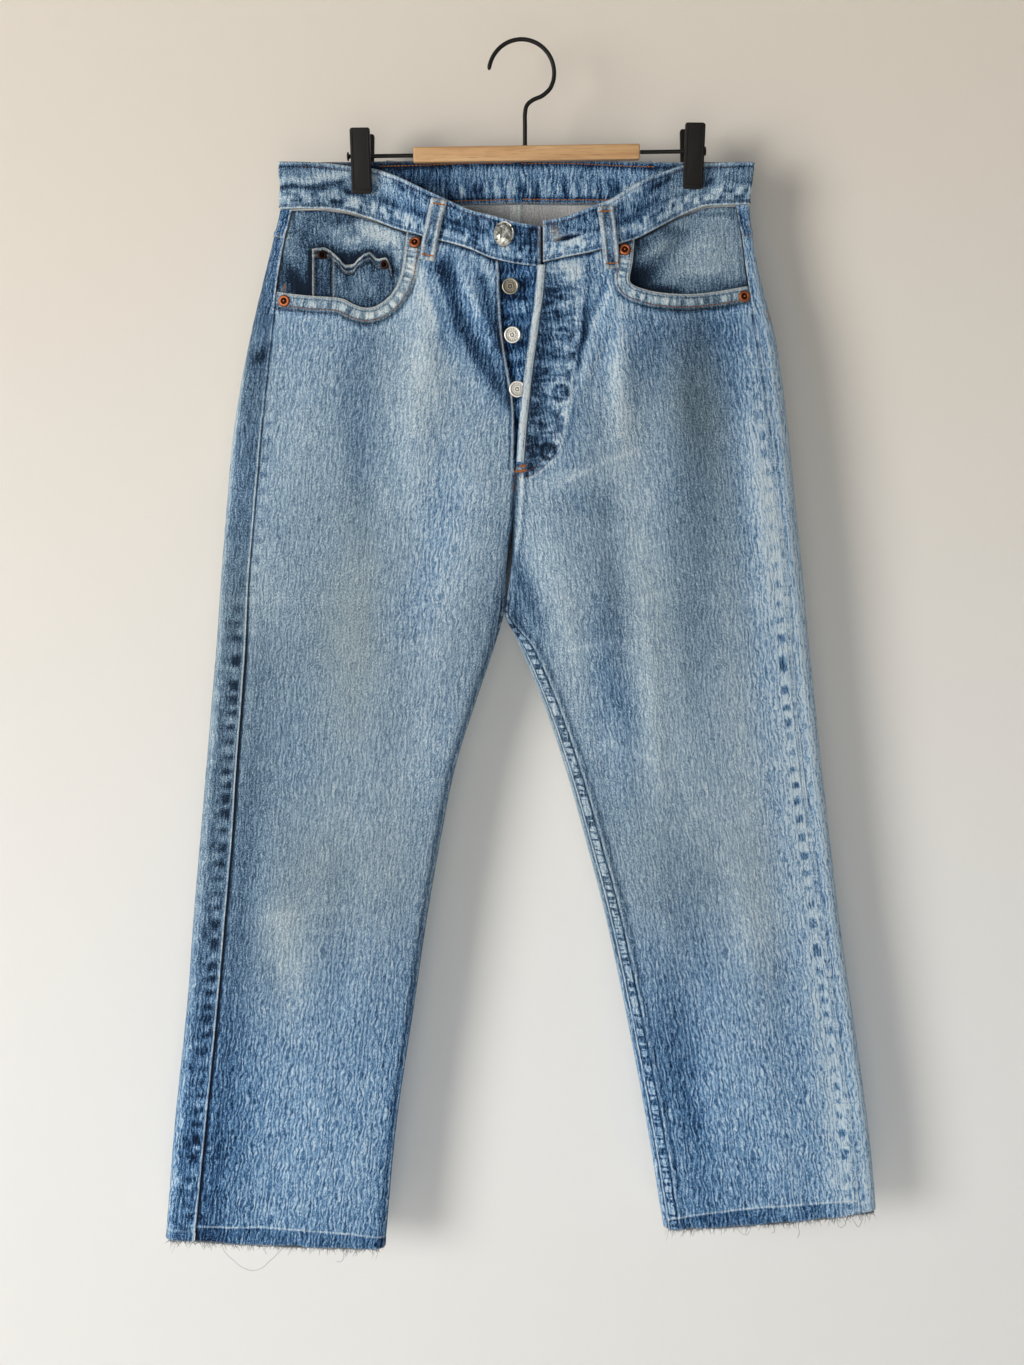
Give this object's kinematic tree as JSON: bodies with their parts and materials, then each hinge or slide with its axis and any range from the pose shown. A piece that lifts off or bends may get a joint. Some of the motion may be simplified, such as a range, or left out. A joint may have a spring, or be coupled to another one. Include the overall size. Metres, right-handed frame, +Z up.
{
  "type": "straight leg jeans on a clip hanger",
  "caption": "Straight leg five-pocket jeans with an open button fly and raw hems, hung by the waistband from a wood and wire clip hanger.",
  "frame": {"origin": "underside of the top of the hanger hook's arc, where it rests on a rail", "axes": "+Z up along the hung jeans, -Y towards the front of the jeans, +X towards the wearer's left"},
  "size_m": [0.6525, 0.0904, 1.0686],
  "materials": {
    "denim": "washed, faded",
    "pocket_denim": "washed, faded",
    "dark_denim": "washed, darker",
    "worn_edge": "worn to the weft",
    "crystal_setting": "faceted, polished",
    "silver": "worn silver",
    "copper": "dull copper",
    "dark_copper": "darkened copper",
    "wood": "pale, matt",
    "black_metal": "satin black",
    "black_plastic": "matt black",
    "steel": "bare spring steel"
  },
  "bodies": {
    "root": {"front_right": "denim", "front_left": "denim", "back_right": "denim", "back_left": "denim", "yoke_right": "denim", "yoke_left": "denim", "waistband": "denim", "loop_front_right": "denim", "loop_front_left": "denim", "loop_back_right": "denim", "loop_back_centre": "denim", "loop_back_left": "denim", "facing_right": "pocket_denim", "facing_left": "pocket_denim", "coin_pocket": "pocket_denim", "pocket_right": "pocket_denim", "pocket_left": "pocket_denim", "fly_underlap": "dark_denim", "fly_fold": "worn_edge", "button_waist": "crystal_setting", "fly_button_1": "silver", "fly_button_2": "silver", "fly_button_3": "silver", "rivet_1": "copper", "rivet_2": "copper", "rivet_3": "copper", "rivet_4": "copper", "coin_rivet_1": "dark_copper", "coin_rivet_2": "dark_copper", "hanger_hook": "black_metal", "hanger_bar": "wood", "hanger_rod_right": "black_metal", "hanger_rod_left": "black_metal", "clip_right_front_jaw": "black_plastic", "clip_right_back_jaw": "black_plastic", "clip_right_spring": "steel", "clip_left_front_jaw": "black_plastic", "clip_left_back_jaw": "black_plastic", "clip_left_spring": "steel"}
  },
  "joints": []
}
